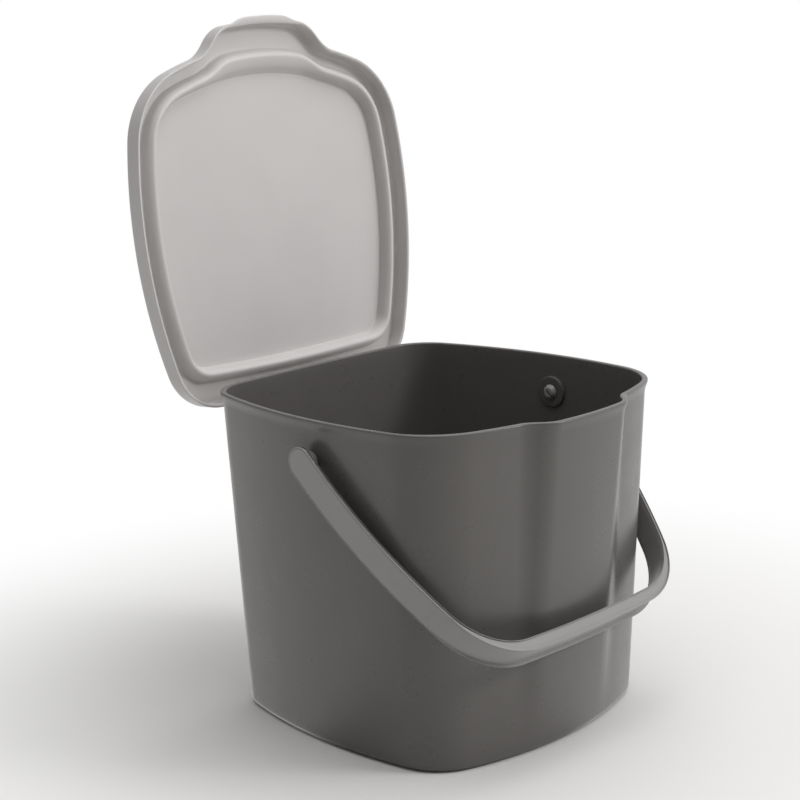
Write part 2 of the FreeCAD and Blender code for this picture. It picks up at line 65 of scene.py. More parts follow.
# Studio: the dim quarter, how its edge falls off, the brighter side, and the lamps as place, size and watts
DIM_QUARTER = (-0.72, -0.694, 0.0)
DIM_EDGE = (0.40, 0.80)
DIM_DEPTH = 0.85
BRIGHT_SIDE = (0.906, -0.423, 0.0)
SURROUND_LEVEL = 0.62
SURROUND_SLOPE = 0.30
WHITE_FLOOR = (0.16, 0.50)
LAMPS = (
    ("top", (0.1, -0.2, 1.5), (1.6, 1.2), 10),
    ("key", (0.9, -1.5, 1.2), (0.5, 0.5), 12),
)

# Bucket: plan of the rim
SIDE_BOW_RADIUS = 0.314
FRONT_BOW_RADIUS = 0.221
REAR_BOW_RADIUS = 1.5
SIDE_BOW_CENTRE_Y = -0.0078
FRONT_CORNER_RADIUS = 0.048
REAR_CORNER_RADIUS = 0.031
LEAST_CORNER_RADIUS = 0.004

# Bucket: wall, base and rim
DRAFT = 0.046
FLOOR = 0.0025
BOTTOM_ROUND = 0.005
INNER_ROUND = 0.004
FOOT_RING_HEIGHT = 0.0015
FOOT_RING_INSET = 0.0115
RIM_FLARE = 0.0014
RIM_FLARE_HEIGHT = 0.006
RIM_LAND = 0.0016
RIM_EDGE_ROUND = 0.0009
LIP_HALF_CREST = 0.0266
LIP_HALF_FOOT = 0.0485

# Lid: sizes with the lid shut
SKIRT_GAP = 0.0005
SKIRT = 0.002
PLATE = 0.0022
SKIRT_DEPTH = 0.0096
SEAT_GAP = 0.0003
LID_EDGE_ROUND = 0.0026
TAB_HALF_CREST = 0.027
TAB_HALF_FOOT = 0.057
FINGER_LIP_HALF_CREST = 0.013
FINGER_LIP_HALF_FOOT = 0.029
FINGER_LIP_HEIGHT = 0.0016
BEAD_REAR_SHIFT = 0.006
BEAD_OUTER_INSETS = (0.0096, 0.0112, 0.0134)
BEAD_INNER_INSETS = (0.0152, 0.0172, 0.0186)
BEAD_SHOULDER_DROP = 0.002
BEAD_FRONT_SWELL = 0.006
BEAD_INNER_SHOULDER_SWELL = 0.003
GROOVE_INSETS = (0.0118, 0.0132, 0.0152, 0.0164)
GROOVE_DEPTH = 0.0078

# Hinge
HINGE_DROP = 0.019
HINGE_REACH = 0.0052
STATION_X = 0.046
PIN_RADIUS = 0.0024
RUNNING_GAP = 0.00008
HOOK_WALL = 0.002
HOOK_LENGTH = 0.020
HOOK_MOUTH = math.radians(96)
HOOK_SIDE_GAP = 0.0004
HOOK_LEG = 0.0022
HOOK_HEEL = 0.004
LUG_WIDTH = 0.003
LUG_RADIUS = 0.0042
LUG_FOOT = 0.008
STOP_GAP = 0.0003

# Handle
PIVOT_DROP = 0.0236
STANDOFF = 0.007
REACH = 0.1559
SIDE_BOW = 0.356
GRIP_BOW = 1.19
OUTER_CORNER = 0.050
INNER_CORNER = 0.045
GRIP_WEB = 0.0023
GRIP_FLANGE = 0.0017
GRIP_LEAN = 0.0042
CHANNEL_START = 0.110
CHANNEL_START_DEPTH = 0.0007
STRAP_EDGE_ROUND = 0.0008
HUB_RADIUS = 0.0056
HUB_FACE_GAP = 0.0003
STUD_RADIUS = 0.004
STUD_GAP = 0.0001
BOSS_RADIUS = 0.010
BOSS_HEIGHT = 0.002
HEAD_RADIUS = 0.0051
HEAD_LENGTH = 0.0024
HEAD_GAP = 0.0003
HEAD_TAPER = 0.0008
HEAD_SLOT = 0.0016


def slot_colour(slot):
    """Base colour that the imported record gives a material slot."""
    for material in frame["record"]["materials"]:
        if material["slot"] == slot:
            return tuple(material["base_color"][:3])
    raise RuntimeError("no material slot " + slot)


class CaddyBody(bpy.types.PropertyGroup):
    """Sizes of the bucket."""
    half_width: FloatProperty(name="Half width", description="Half the rim's width", default=0.1115, unit="LENGTH")
    half_depth: FloatProperty(name="Half depth", description="Half the rim's depth", default=0.1078, unit="LENGTH")
    height: FloatProperty(name="Height", description="Height of the bucket", default=0.200, unit="LENGTH")
    wall: FloatProperty(name="Wall", description="Thickness of the wall", default=0.0022, unit="LENGTH")
    lip: FloatProperty(name="Pour lip", description="How far the pour lip stands out", default=0.0092, unit="LENGTH")


class CaddyLid(bpy.types.PropertyGroup):
    """Sizes of the lid."""
    opened: FloatProperty(
        name="Opened", description="Angle at which the lid stands", default=math.radians(95.4), subtype="ANGLE")
    tab: FloatProperty(name="Tab", description="How far the front tab stands out", default=0.0135, unit="LENGTH")
    finger_lip: FloatProperty(
        name="Finger lip", description="Flare along the tab's free edge", default=0.0030, unit="LENGTH")
    bead: FloatProperty(
        name="Sealing bead", description="Height of the bead round the inner panel", default=0.0078, unit="LENGTH")


class CaddyHandle(bpy.types.PropertyGroup):
    """Sizes of the bail handle."""
    lowered: FloatProperty(
        name="Lowered", description="Angle at which the handle hangs", default=math.radians(43.7), subtype="ANGLE")
    width: FloatProperty(name="Width", description="Width of the strap", default=0.0186, unit="LENGTH")
    strap: FloatProperty(name="Strap", description="Thickness of the strap", default=0.0027, unit="LENGTH")
    grip: FloatProperty(name="Grip", description="Depth of the grip", default=0.0082, unit="LENGTH")


class CaddyFinish(bpy.types.PropertyGroup):
    """Colours and surface of the moulded plastic."""
    bucket: FloatVectorProperty(
        name="Bucket", description="Colour of the bucket", default=slot_colour("bucket_plastic"), subtype="COLOR")
    lid: FloatVectorProperty(
        name="Lid", description="Colour of the lid", default=slot_colour("lid_plastic"), subtype="COLOR")
    handle: FloatVectorProperty(
        name="Handle", description="Colour of the handle", default=slot_colour("handle_plastic"), subtype="COLOR")
    roughness: FloatProperty(
        name="Roughness", description="Middle of the satin's roughness", default=0.30, subtype="FACTOR")
    grain: FloatProperty(name="Grain", description="Strength of the fine surface grain", default=0.16, subtype="FACTOR")


class CaddySettings(bpy.types.PropertyGroup):
    """All sizes and finishes of the caddy."""
    body: PointerProperty(type=CaddyBody)
    lid: PointerProperty(type=CaddyLid)
    handle: PointerProperty(type=CaddyHandle)
    finish: PointerProperty(type=CaddyFinish)


# Outlines and profiles

def bend(t):
    """S-curve from 0 to 1 made of two parabolas: 2t squared, then 1 minus 2(1 - t) squared."""
    t = np.clip(t, 0.0, 1.0)
    return np.where(t < 0.5, 2 * t * t, 1 - 2 * (1 - t) ** 2)


def ease(t):
    """S-curve from 0 to 1: 3t squared minus 2t cubed."""
    t = np.clip(t, 0.0, 1.0)
    return t * t * (3 - 2 * t)


def touching_centre(first, first_radius, second, second_radius, radius, side):
    """Centres of circles that touch two others from inside, by the cosine rule in the triangle of centres."""
    d1 = first_radius - radius
    d2 = second_radius - radius
    span = second - first
    length = np.hypot(span[:, 0], span[:, 1])
    along = (d1 ** 2 - d2 ** 2 + length ** 2) / (2 * length)
    across = np.sqrt(d1 ** 2 - along ** 2)
    unit = span / length[:, None]
    normal = np.stack([-unit[:, 1], unit[:, 0]], axis=1)
    one = first + unit * along[:, None] + normal * across[:, None]
    other = first + unit * along[:, None] - normal * across[:, None]
    return np.where(((one @ side) > (other @ side))[:, None], one, other)


def arc_points(centre, radius, start, end, count):
    """Points of one arc in each row: centre plus radius times (cos, sin) of an angle that runs from start to end."""
    turn = np.linspace(0, 1, count, endpoint=False)
    angle = start[:, None] + (end - start)[:, None] * turn
    reach = radius[:, None] if radius.ndim == 1 else radius
    return centre[:, None, :] + reach[..., None] * np.stack([np.cos(angle), np.sin(angle)], axis=-1), angle


def angle_of(vector):
    return np.arctan2(vector[:, 1], vector[:, 0])


def plan_rings(body, inset, rear_shift, swells):
    """Closed rounded-square outlines, one row for each value of inset, as (rows, points, 2).

    Each quarter is a rear arc, a corner arc, a bowed side, a front corner and a bowed front, all tangent.
    The front's radius grows by each swell's depth times an S-curve of the angle between its foot and crest.
    """
    rows = len(inset)
    zero = np.zeros(rows)
    r_side = SIDE_BOW_RADIUS - inset
    r_front = FRONT_BOW_RADIUS - inset
    r_rear = REAR_BOW_RADIUS - inset
    r_front_corner = FRONT_CORNER_RADIUS - inset
    r_rear_corner = np.maximum(REAR_CORNER_RADIUS - inset, LEAST_CORNER_RADIUS)
    front = np.stack([zero, -(body.half_depth - inset) + r_front], axis=1)
    rear = np.stack([zero, body.half_depth - inset - rear_shift - r_rear], axis=1)
    side = np.stack([body.half_width - inset - r_side, zero + SIDE_BOW_CENTRE_Y], axis=1)
    front_corner = touching_centre(front, r_front, side, r_side, r_front_corner, np.array([1.0, -1.0]))
    rear_corner = touching_centre(rear, r_rear, side, r_side, r_rear_corner, np.array([1.0, 1.0]))
    to_rear = angle_of(rear_corner - rear)
    side_rear = angle_of(rear_corner - side)
    side_front = angle_of(front_corner - side)
    to_front = angle_of(front_corner - front)
    middle = zero - math.pi / 2
    foot = middle + math.asin(swells[0][2] / FRONT_BOW_RADIUS)
    crest = middle + math.asin(swells[0][1] / FRONT_BOW_RADIUS)
    parts = [
        arc_points(rear, r_rear, zero + math.pi / 2, to_rear, 40)[0],
        arc_points(rear_corner, r_rear_corner, to_rear, side_rear, 44)[0],
        arc_points(side, r_side, side_rear, side_front, 64)[0],
        arc_points(front_corner, r_front_corner, side_front, to_front, 56)[0],
    ]
    for start, end, count in ((to_front, foot, 12), (foot, crest, 44), (crest, middle, 40)):
        angle = start[:, None] + (end - start)[:, None] * np.linspace(0, 1, count, endpoint=False)
        reach = np.repeat(r_front[:, None], count, axis=1)
        for depth, half_crest, half_foot in swells:
            c = math.asin(half_crest / FRONT_BOW_RADIUS)
            f = math.asin(half_foot / FRONT_BOW_RADIUS)
            reach = reach + depth[:, None] * bend((f - (angle + math.pi / 2)) / (f - c))
        parts.append(front[:, None, :] + reach[..., None] * np.stack([np.cos(angle), np.sin(angle)], axis=-1))
    half = np.concatenate(parts, axis=1)
    last = front + (r_front + sum(s[0] for s in swells))[:, None] * np.array([0.0, -1.0])
    left = half[:, :0:-1] * np.array([-1.0, 1.0])
    return np.concatenate([half, last[:, None, :], left], axis=1)


def rounded_path(corners, cuts, steps=7):
    """Path through corner rows whose corners become circle arcs.

    At each corner the arc is the rational quadratic curve from the point one cut before it to the point one
    cut after it, with the cosine of half the turn as the corner's weight. Columns past the first two ride along.
    """
    corners = np.asarray(corners, float)
    cuts = np.asarray(cuts, float)
    before = np.roll(corners, 1, axis=0) - corners
    after = np.roll(corners, -1, axis=0) - corners
    before_length = np.maximum(np.hypot(before[:, 0], before[:, 1]), 1e-9)
    after_length = np.maximum(np.hypot(after[:, 0], after[:, 1]), 1e-9)
    cosine = -(before[:, :2] * after[:, :2]).sum(axis=1) / (before_length * after_length)
    weight = np.sqrt(np.clip((1 + cosine) / 2, 0.05, 1))[:, None, None]
    start = corners + before * (cuts / before_length)[:, None]
    end = corners + after * (cuts / after_length)[:, None]
    t = np.linspace(0, 1, steps)[None, :, None]
    a = (1 - t) ** 2
    b = 2 * t * (1 - t) * weight
    c = t ** 2
    curve = (a * start[:, None] + b * corners[:, None] + c * end[:, None]) / (a + b + c)
    path = curve.reshape(-1, corners.shape[1])
    fresh = np.concatenate([[True], np.abs(np.diff(path, axis=0)).max(axis=1) > 1e-8])
    return path[fresh]


def filled_in(path, longest, weights):
    """Path with evenly spaced points added where neighbours lie further apart than longest."""
    gaps = np.linalg.norm(np.diff(path, axis=0) * np.asarray(weights), axis=1)
    pieces = np.maximum(1, np.ceil(gaps / longest)).astype(int)
    leg = np.repeat(np.arange(len(gaps)), pieces)
    first = np.repeat(np.cumsum(pieces) - pieces, pieces)
    t = (np.arange(pieces.sum()) - first) / np.repeat(pieces, pieces)
    rows = path[leg] + (path[leg + 1] - path[leg]) * t[:, None]
    return np.vstack([rows, path[-1:]])


# Meshes

def grid_mesh(name, points, sharp=math.radians(38)):
    """Closed mesh over a grid of points that wraps round its second direction; poles and seams are merged."""
    rows, columns = points.shape[:2]
    index = np.arange(rows * columns).reshape(rows, columns)
    right = np.roll(index, -1, axis=1)
    quads = np.stack([index[:-1], index[1:], right[1:], right[:-1]], axis=-1).reshape(-1, 4)
    mesh = bpy.data.meshes.new(name)
    mesh.from_pydata(points.reshape(-1, 3).tolist(), [], quads.tolist())
    tidy_mesh(mesh, sharp)
    return mesh


def tidy_mesh(mesh, sharp):
    """Merge doubles, turn the faces outwards and shade smooth between edges sharper than an angle."""
    work = bmesh.new()
    work.from_mesh(mesh)
    bmesh.ops.remove_doubles(work, verts=work.verts, dist=2e-6)
    bmesh.ops.dissolve_degenerate(work, edges=work.edges, dist=1e-7)
    bmesh.ops.recalc_face_normals(work, faces=work.faces)
    work.to_mesh(mesh)
    work.free()
    mesh.polygons.foreach_set("use_smooth", np.ones(len(mesh.polygons), bool))
    mesh.set_sharp_from_angle(angle=sharp)
    mesh.update()


def joined(name, meshes, sharp=math.radians(38)):
    """One mesh out of several closed ones."""
    work = bmesh.new()
    for mesh in meshes:
        work.from_mesh(mesh)
        bpy.data.meshes.remove(mesh)
    mesh = bpy.data.meshes.new(name)
    work.to_mesh(mesh)
    work.free()
    mesh.polygons.foreach_set("use_smooth", np.ones(len(mesh.polygons), bool))
    mesh.set_sharp_from_angle(angle=sharp)
    return mesh


def cut_mesh(mesh, cutter, sharp=math.radians(38)):
    """The mesh after a Boolean modifier has taken the cutter out of it."""
    target = bpy.data.objects.new("cut_target", mesh)
    tool = bpy.data.objects.new("cut_tool", cutter)
    for piece in (target, tool):
        bpy.context.scene.collection.objects.link(piece)
    modifier = target.modifiers.new("holes", "BOOLEAN")
    modifier.object = tool
    modifier.solver = "EXACT"
    modifier.operation = "DIFFERENCE"
    bpy.context.view_layer.update()
    graph = bpy.context.evaluated_depsgraph_get()
    result = bpy.data.meshes.new_from_object(target.evaluated_get(graph))
    for piece in (target, tool):
        bpy.data.objects.remove(piece)
    bpy.data.meshes.remove(cutter)
    result.polygons.foreach_set("use_smooth", np.ones(len(result.polygons), bool))
    result.set_sharp_from_angle(angle=sharp)
    return result


def lathe_x(name, path, y, z, count=96, sharp=math.radians(38)):
    """Surface of revolution about a line along X: rows (x, radius) turned by equal angles; a closed row path."""
    angle = np.linspace(0, 2 * math.pi, count, endpoint=False)
    radius = path[:, 1][:, None]
    points = np.stack([
        np.repeat(path[:, 0][:, None], count, axis=1),
        y + radius * np.cos(angle),
        z + radius * np.sin(angle),
    ], axis=-1)
    return grid_mesh(name, points, sharp)


def rounded_prism(name, outline, x0, x1, radius, steps=5):
    """Prism along X over a closed outline of (y, z), with rounded end edges.

    Each row moves the outline inwards by radius times (1 - cos a) while x moves by radius times sin a; the
    ends close on the outline's middle.
    """
    along = np.roll(outline, -1, axis=0) - np.roll(outline, 1, axis=0)
    along /= np.maximum(np.hypot(along[:, 0], along[:, 1]), 1e-12)[:, None]
    inward = np.stack([-along[:, 1], along[:, 0]], axis=1)
    area = (outline[:, 0] * np.roll(outline[:, 1], -1) - np.roll(outline[:, 0], -1) * outline[:, 1]).sum()
    inward *= math.copysign(1, area)
    a = np.linspace(math.pi / 2, 0, steps)
    inset = np.concatenate([radius * np.sin(a), radius * np.sin(a[::-1])])
    x = np.concatenate([x0 + radius * (1 - np.cos(a)), x1 - radius * (1 - np.cos(a[::-1]))])
    return prism_rows(name, outline, inward, inset, x)


def prism_rows(name, outline, inward, inset, x):
    """Mesh of stacked outlines, closed at both ends by one face each."""
    rows = outline[None] + inward[None] * inset[:, None, None]
    points = np.concatenate([np.repeat(x[:, None, None], len(outline), axis=1), rows], axis=2)
    count = len(outline)
    index = np.arange(len(x) * count).reshape(len(x), count)
    right = np.roll(index, -1, axis=1)
    quads = np.stack([index[:-1], index[1:], right[1:], right[:-1]], axis=-1).reshape(-1, 4)
    mesh = bpy.data.meshes.new(name)
    faces = quads.tolist() + [index[0].tolist(), index[-1][::-1].tolist()]
    mesh.from_pydata(points.reshape(-1, 3).tolist(), [], faces)
    tidy_mesh(mesh, math.radians(38))
    return mesh


def turned_x(points, y, z, angle):
    """Points turned about the line along X through (y, z)."""
    dy = points[..., 1] - y
    dz = points[..., 2] - z
    cosine = math.cos(angle)
    sine = math.sin(angle)
    return np.stack([points[..., 0], y + dy * cosine - dz * sine, z + dy * sine + dz * cosine], axis=-1)


def turn_mesh(mesh, y, z, angle):
    """Turn a mesh's points about the line along X through (y, z)."""
    turn = Matrix.Translation((0, y, z)) @ Matrix.Rotation(angle, 4, "X") @ Matrix.Translation((0, -y, -z))
    mesh.transform(turn)
    return mesh


def add_piece(name, mesh, body, material, replaces=()):
    """Put a finished mesh into the scene, riding on its CAD body."""
    piece = bpy.data.objects.new(name, mesh)
    mesh.materials.clear()
    mesh.materials.append(material)
    bpy.context.scene.collection.objects.link(piece)
    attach(piece, body)
    if replaces:
        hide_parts(*replaces)
    return piece


# Finishes

def satin_plastic(name, colour, roughness, grain, mottle=0.02):
    """Satin moulded plastic: fine grain, faint waviness, slight change of shade and gloss over the surface."""
    material = bpy.data.materials.get(name)
    if material:
        return material
    material = bpy.data.materials.new(name)
    material.use_nodes = True
    nodes = material.node_tree.nodes
    links = material.node_tree.links
    shader = nodes["Principled BSDF"]
    shader.inputs["IOR"].default_value = 1.49
    place = nodes.new("ShaderNodeTexCoord")

    def noise(scale, detail, rough=0.5):
        node = nodes.new("ShaderNodeTexNoise")
        node.inputs["Scale"].default_value = scale
        node.inputs["Detail"].default_value = detail
        node.inputs["Roughness"].default_value = rough
        links.new(place.outputs["Object"], node.inputs["Vector"])
        return node.outputs["Fac"]

    def spread(source, low, high):
        node = nodes.new("ShaderNodeMapRange")
        node.inputs["From Min"].default_value = 0.3
        node.inputs["From Max"].default_value = 0.7
        node.inputs["To Min"].default_value = low
        node.inputs["To Max"].default_value = high
        links.new(source, node.inputs["Value"])
        return node.outputs["Result"]

    shade = nodes.new("ShaderNodeMix")
    shade.data_type = "RGBA"
    shade.inputs["A"].default_value = (*[c * (1 - mottle) for c in colour], 1)
    shade.inputs["B"].default_value = (*[min(1, c * (1 + mottle)) for c in colour], 1)
    links.new(spread(noise(22, 4), 0, 1), shade.inputs["Factor"])
    links.new(shade.outputs["Result"], shader.inputs["Base Color"])
    links.new(spread(noise(60, 5), roughness - 0.04, roughness + 0.04), shader.inputs["Roughness"])
    waves = nodes.new("ShaderNodeBump")
    waves.inputs["Strength"].default_value = 0.1
    waves.inputs["Distance"].default_value = 0.0004
    links.new(noise(35, 2), waves.inputs["Height"])
    fine = nodes.new("ShaderNodeBump")
    fine.inputs["Strength"].default_value = grain
    fine.inputs["Distance"].default_value = 0.00008
    links.new(noise(1100, 3, 0.6), fine.inputs["Height"])
    links.new(waves.outputs["Normal"], fine.inputs["Normal"])
    links.new(fine.outputs["Normal"], shader.inputs["Normal"])
    return material


def bucket_finish(settings):
    return satin_plastic("bucket_satin", settings.finish.bucket, settings.finish.roughness, settings.finish.grain)


def lid_finish(settings):
    return satin_plastic("lid_satin", settings.finish.lid, settings.finish.roughness + 0.06, settings.finish.grain)


def handle_finish(settings):
    return satin_plastic("handle_satin", settings.finish.handle, settings.finish.roughness + 0.02, settings.finish.grain)


# Shapes of the caddy

def wall_inset(body, z):
    """How far the outer wall lies inside the rim's outline at height z."""
    return RIM_FLARE + DRAFT * (body.height - z)


def wall_outer_x(body, z):
    """Half-width of the outer wall at the middle of the depth."""
    radius = SIDE_BOW_RADIUS - wall_inset(body, z)
    centre = body.half_width - wall_inset(body, z) - radius
    return centre + math.sqrt(radius ** 2 - SIDE_BOW_CENTRE_Y ** 2)


def hinge_place(body):
    """Y and Z of the hinge axis."""
    z = body.height - HINGE_DROP
    return body.half_depth - wall_inset(body, z) + HINGE_REACH, z


def shell_mesh(body):
    """Bucket wall: plan rings carried along a profile of (inset, height, scale) that runs from the middle of
    the underside out over the foot ring, up the tapering wall, over the rim and down to the middle of the floor.
    """
    top = body.height
    floor = FOOT_RING_HEIGHT + FLOOR
    ring = wall_inset(body, 0) + FOOT_RING_INSET
    flare = top - RIM_FLARE_HEIGHT
    inner_floor = wall_inset(body, floor) + body.wall
    profile = rounded_path([
        (ring + 0.006, FOOT_RING_HEIGHT, 0),
        (ring + 0.006, FOOT_RING_HEIGHT, 1),
        (ring, FOOT_RING_HEIGHT, 1),
        (ring, 0, 1),
        (wall_inset(body, 0), 0, 1),
        (wall_inset(body, flare), flare, 1),
        (0, top - RIM_LAND, 1),
        (0, top, 1),
        (wall_inset(body, top) + body.wall, top, 1),
        (inner_floor, floor, 1),
        (inner_floor + 0.012, floor, 1),
        (inner_floor + 0.012, floor, 0),
    ], [0, 0, 0.0006, 0.0005, BOTTOM_ROUND, 0.002, 0.0007, RIM_EDGE_ROUND, RIM_EDGE_ROUND, INNER_ROUND, 0, 0], 9)
    profile = filled_in(profile, 0.005, (1, 1, 0.08))
    swell = body.lip * np.clip(profile[:, 1] / body.height, 0, 1)
    rings = plan_rings(body, profile[:, 0], 0 * swell, [(swell, LIP_HALF_CREST, LIP_HALF_FOOT)])
    rings = rings * profile[:, 2][:, None, None]
    height = np.repeat(profile[:, 1][:, None, None], rings.shape[1], axis=1)
    return grid_mesh("bucket_shell", np.concatenate([rings, height], axis=2))


def boss_mesh(body, side):
    """Thickened ring inside the wall round a handle bearing."""
    z = body.height - PIVOT_DROP
    face = wall_outer_x(body, z)
    inside = face - body.wall - BOSS_HEIGHT
    hole = STUD_RADIUS + STUD_GAP
    path = rounded_path([
        (face - body.wall * 0.6, hole), (inside, hole), (inside, BOSS_RADIUS), (face - body.wall * 0.6, BOSS_RADIUS),
        (face - body.wall * 0.6, hole),
    ], [0, 0.0003, 0.0006, 0, 0])
    path[:, 0] *= side
    return lathe_x("boss", path, 0, z)


def lug_outline(body):
    """Outline (y, z) of a hinge ear: a round nose about the pin, a web to the wall and a sloping foot."""
    y, z = hinge_place(body)
    depth = HINGE_REACH + body.wall * 0.5
    turn = np.linspace(math.pi / 2, -math.pi / 2, 28)
    nose = np.stack([y + LUG_RADIUS * np.cos(turn), z + LUG_RADIUS * np.sin(turn)], axis=1)
    back = np.array([(y - depth, z - LUG_RADIUS - LUG_FOOT), (y - depth, z + LUG_RADIUS)])
    return np.vstack([nose, back])


def hook_outline(body):
    """Outline (y, z) of a snap hook with the lid shut: a C round the pin, its leg up to the lid and its heel."""
    y, z = hinge_place(body)
    inner = PIN_RADIUS + RUNNING_GAP
    outer = inner + HOOK_WALL
    mouth = HOOK_MOUTH / 2
    leg_y = body.half_depth + SKIRT_GAP - y
    leg_end = leg_y + HOOK_LEG
    leg_top = body.height + SEAT_GAP - z + PLATE * 0.5
    tilt = math.radians(95.4 - 90)
    heel = HINGE_REACH - STOP_GAP
    heel_side = math.sqrt(outer ** 2 - (HOOK_HEEL / 2) ** 2)
    corners = np.array([(HOOK_HEEL / 2, -heel_side), (HOOK_HEEL / 2, -heel), (-HOOK_HEEL / 2, -heel),
                        (-HOOK_HEEL / 2, -heel_side)])
    heel_points = corners @ np.array([[math.cos(tilt), math.sin(tilt)], [-math.sin(tilt), math.cos(tilt)]])
    start = math.acos(leg_end / outer)
    heel_start = math.atan2(heel_points[0, 1], heel_points[0, 0])
    heel_end = math.atan2(heel_points[3, 1], heel_points[3, 0])
    first = np.linspace(start, heel_start, 40)
    second = np.linspace(heel_end, -math.pi + mouth, 16)
    inside = np.linspace(-math.pi + mouth, math.pi - mouth, 48)
    tip = np.linspace(math.pi - mouth, math.acos(leg_y / outer), 4)
    outline = np.vstack([
        np.array([(leg_y, leg_top), (leg_end, leg_top)]),
        outer * np.stack([np.cos(first), np.sin(first)], axis=1),
        heel_points,
        outer * np.stack([np.cos(second), np.sin(second)], axis=1),
        inner * np.stack([np.cos(inside), np.sin(inside)], axis=1),
        outer * np.stack([np.cos(tip), np.sin(tip)], axis=1),
    ])
    return outline + np.array([y, z])


def lid_mesh(settings):
    """Lid moulding: plan rings carried along a profile of (inset, height, front swell, rear shift, scale, flare).

    The profile runs from the middle of the top over the groove, round the edge, down the skirt, up inside it,
    along the ledge, over the half-round bead and on to the middle of the panel. The front swell makes the tab
    on the skirt, and spreads the bead under it. All is worked out shut and then turned open about the hinge.
    """
    body = settings.body
    floor = body.height + SEAT_GAP
    top = floor + PLATE
    edge = body.height - SKIRT_DEPTH
    crest = floor - settings.lid.bead
    shoulder = crest + BEAD_SHOULDER_DROP
    tab = settings.lid.tab
    wide = BEAD_FRONT_SWELL
    b0, b1, b2 = BEAD_OUTER_INSETS
    b3, b4, b5 = BEAD_INNER_INSETS
    g0, g1, g2, g3 = GROOVE_INSETS
    flare = edge + FINGER_LIP_HEIGHT
    rows = [
        ((g3 + 0.006, top, 0, 1, 0, 0), 0),
        ((g3 + 0.006, top, 0, 1, 1, 0), 0),
        ((g3, top, 0, 1, 1, 0), 0.0008),
        ((g2, top - GROOVE_DEPTH, wide, 1, 1, 0), 0.0008),
        ((g1, top - GROOVE_DEPTH, wide, 1, 1, 0), 0.0008),
        ((g0, top, wide, 1, 1, 0), 0.0008),
        ((LID_EDGE_ROUND + 0.0015, top, tab, 0, 1, 0), 0),
        ((0, top, tab, 0, 1, 0), LID_EDGE_ROUND),
        ((0, flare + 0.0018, tab, 0, 1, 0), 0.0006),
        ((0, flare, tab, 0, 1, 1), 0.0006),
        ((0, edge, tab, 0, 1, 1), 0.0004),
        ((SKIRT, edge, tab, 0, 1, 0), 0.0014),
        ((SKIRT, floor, tab, 0, 1, 0), 0.001),
        ((SKIRT + 0.0015, floor, tab, 0, 1, 0), 0),
        ((b0, floor, wide, 1, 1, 0), 0.0010),
        ((b1, shoulder, wide, 1, 1, 0), 0.0019),
        ((b2, crest, wide, 1, 1, 0), 0.0009),
        ((b3, crest, wide, 1, 1, 0), 0.0009),
        ((b4, shoulder, BEAD_INNER_SHOULDER_SWELL, 1, 1, 0), 0.0019),
        ((b5, floor, 0, 1, 1, 0), 0.0005),
        ((b5 + 0.004, floor, 0, 1, 1, 0), 0),
        ((b5 + 0.004, floor, 0, 1, 0, 0), 0),
    ]
    profile = rounded_path([row for row, cut in rows], [cut for row, cut in rows])
    profile = filled_in(profile, 0.004, (1, 1, 0.4, 0.004, 0.08, 0.002))
    inset, height, swell, shift, scale, lip = profile.T
    rings = plan_rings(body, inset - SKIRT_GAP - SKIRT, shift * BEAD_REAR_SHIFT, [
        (swell, TAB_HALF_CREST, TAB_HALF_FOOT),
        (lip * settings.lid.finger_lip, FINGER_LIP_HALF_CREST, FINGER_LIP_HALF_FOOT),
    ])
    rings = rings * scale[:, None, None]
    points = np.concatenate([rings, np.repeat(height[:, None, None], rings.shape[1], axis=1)], axis=2)
    y, z = hinge_place(body)
    return grid_mesh("lid_moulding", turned_x(points, y, z, -settings.lid.opened))


def bail_line(half_inside, reach, corner):
    """Dense points (u, v) of the bail from one arm round the grip to the other: five tangent arcs.

    The arms bow on circles about the pivot's line, the grip on a large circle, and the corners touch both.
    """
    one = np.ones(1)
    side = np.array([[half_inside - SIDE_BOW, 0.0]])
    grip = np.array([[0.0, -reach + GRIP_BOW]])
    centre = touching_centre(grip, one * GRIP_BOW, side, one * SIDE_BOW, one * corner, np.array([1.0, -1.0]))
    arm_end = angle_of(centre - side)
    grip_end = angle_of(centre - grip)
    arm_start = one * math.asin(0.02 / SIDE_BOW)
    arm = arc_points(side, one * SIDE_BOW, arm_start, arm_end, 900)[0][0]
    bend_part = arc_points(centre, one * corner, arm_end, grip_end, 900)[0][0]
    grip_part = arc_points(grip, one * GRIP_BOW, grip_end, one * -math.pi / 2, 500)[0][0]
    half = np.vstack([arm, bend_part, grip_part])
    return np.vstack([half, [[0.0, -reach]], half[::-1] * np.array([-1.0, 1.0])])


def on_line(line, s, straight, half_length):
    """Points of a bail line at places s, measured from the pivot along the first arm.

    Up to straight, and past the same place on the other arm, s is the distance v from the pivot. Between them
    s runs in proportion to the length of the line.
    """
    length = np.concatenate([[0.0], np.cumsum(np.hypot(*np.diff(line, axis=0).T))])
    middle = length[-1] / 2
    half = len(line) // 2
    start = np.interp(straight, -line[:half, 1], length[:half])
    folded = np.minimum(s, 2 * half_length - s)
    fraction = (folded - straight) / (half_length - straight)
    near = np.interp(folded, -line[:half, 1], length[:half])
    far = start + fraction * (middle - start)
    place = np.where(folded < straight, near, far)
    place = np.where(s > half_length, length[-1] - place, place)
    return np.stack([np.interp(place, length, line[:, 0]), np.interp(place, length, line[:, 1])], axis=-1)


